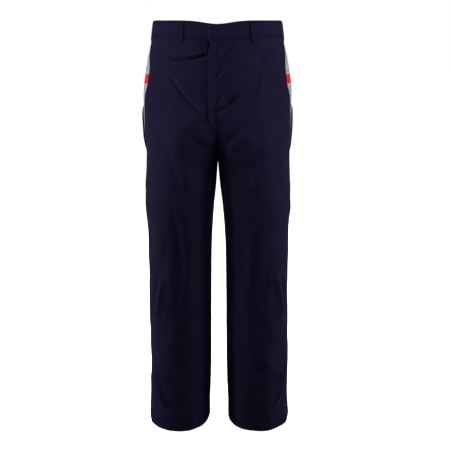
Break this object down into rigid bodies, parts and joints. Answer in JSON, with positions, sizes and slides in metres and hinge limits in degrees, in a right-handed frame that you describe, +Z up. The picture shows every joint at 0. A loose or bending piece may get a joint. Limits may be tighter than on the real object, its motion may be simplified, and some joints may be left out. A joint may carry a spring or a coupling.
{
  "type": "sports trousers",
  "caption": "Full-length navy woven ice-sports trousers with lapped zip fly, belt loops and grey side panels with a red block.",
  "frame": {"origin": "centre of the waist opening, level with the top edge of the waistband", "axes": "+Z up along the legs towards the waist; -Y is the front with the fly; +X is the wearer's left"},
  "size_m": [0.386, 0.2493, 1.0869],
  "materials": {
    "navy_twill": "dark navy cotton-blend twill, soft sheen",
    "grey_cloth": "mid-grey woven side panel",
    "red_cloth": "bright red woven block",
    "gripper_lining": "dark pocketing with gripper ribs",
    "zip_tape": "woven zip tape",
    "zip_coil": "nylon coil",
    "fastener_metal": "nickel-plated",
    "label_satin": "blank satin label"
  },
  "bodies": {
    "seat": {"belt_loop_back_left": "navy_twill", "belt_loop_back_right": "navy_twill", "belt_loop_centre_back": "navy_twill", "belt_loop_front_left": "navy_twill", "belt_loop_front_right": "navy_twill", "belt_loop_side_left": "navy_twill", "belt_loop_side_right": "navy_twill", "fly_facing": "navy_twill", "fly_shield": "navy_twill", "fly_turnback": "navy_twill", "hip_back_left": "navy_twill", "hip_back_right": "navy_twill", "hip_front_left": "navy_twill", "hip_front_right": "navy_twill", "hip_pocket_left": "navy_twill", "hip_pocket_right": "navy_twill", "side_panel_block_left": "red_cloth", "side_panel_block_right": "red_cloth", "side_panel_lower_left": "grey_cloth", "side_panel_lower_right": "grey_cloth", "side_panel_upper_left": "grey_cloth", "side_panel_upper_right": "grey_cloth", "size_label": "label_satin", "snap_stud": "fastener_metal", "waistband_left": "navy_twill", "waistband_lining_left": "gripper_lining", "waistband_lining_right": "gripper_lining", "waistband_right": "navy_twill", "waistband_underlap": "navy_twill", "zip_bottom_stop": "fastener_metal", "zip_coil_left": "zip_coil", "zip_coil_right": "zip_coil", "zip_tape_left": "zip_tape", "zip_tape_right": "zip_tape"},
    "tab": {"waistband_tab": "navy_twill", "waistband_tab_lining": "gripper_lining", "snap_socket": "fastener_metal"},
    "lip": {"fly_lip": "navy_twill"},
    "slider": {"zip_slider": "fastener_metal"},
    "pull": {"zip_pull": "fastener_metal"},
    "right_thigh": {"hip_bend_right": "navy_twill", "thigh_front_right": "navy_twill", "thigh_back_right": "navy_twill"},
    "right_shin": {"knee_bend_right": "navy_twill", "shin_front_right": "navy_twill", "shin_back_right": "navy_twill", "hem_right": "navy_twill"},
    "left_thigh": {"hip_bend_left": "navy_twill", "thigh_front_left": "navy_twill", "thigh_back_left": "navy_twill"},
    "left_shin": {"knee_bend_left": "navy_twill", "shin_front_left": "navy_twill", "shin_back_left": "navy_twill", "hem_left": "navy_twill"}
  },
  "joints": [
    {"name": "waistband_tab_fold", "type": "hinge", "parent": "seat", "child": "tab", "pos_m": [0.012, -0.10479, -0.02004], "axis": [0, 0.0406, 0.9992], "range_deg": [0, 100]},
    {"name": "fly_lip_fold", "type": "hinge", "parent": "seat", "child": "lip", "pos_m": [0, -0.10925, -0.11994], "axis": [0, 0.0406, 0.9992], "range_deg": [0, 100]},
    {"name": "zip_slide", "type": "slide", "parent": "seat", "child": "slider", "axis": [0, -0.0406, -0.9992], "range_m": [0, 0.138]},
    {"name": "zip_pull_swing", "type": "hinge", "parent": "slider", "child": "pull", "pos_m": [-0.01, -0.10279, -0.05214], "axis": [-1, 0, 0], "range_deg": [0, 6]},
    {"name": "right_hip_bend", "type": "hinge", "parent": "seat", "child": "right_thigh", "pos_m": [-0.098, 0.00519, -0.41], "axis": [-1, 0, 0], "range_deg": [-20, 50], "deforming": ["hip_bend_right"]},
    {"name": "right_knee_bend", "type": "hinge", "parent": "right_thigh", "child": "right_shin", "pos_m": [-0.098, 0.00356, -0.7], "axis": [1, 0, 0], "range_deg": [0, 55], "deforming": ["knee_bend_right"]},
    {"name": "left_hip_bend", "type": "hinge", "parent": "seat", "child": "left_thigh", "pos_m": [0.098, 0.00519, -0.41], "axis": [-1, 0, 0], "range_deg": [-20, 50], "deforming": ["hip_bend_left"]},
    {"name": "left_knee_bend", "type": "hinge", "parent": "left_thigh", "child": "left_shin", "pos_m": [0.098, 0.00356, -0.7], "axis": [1, 0, 0], "range_deg": [0, 55], "deforming": ["knee_bend_left"]}
  ]
}
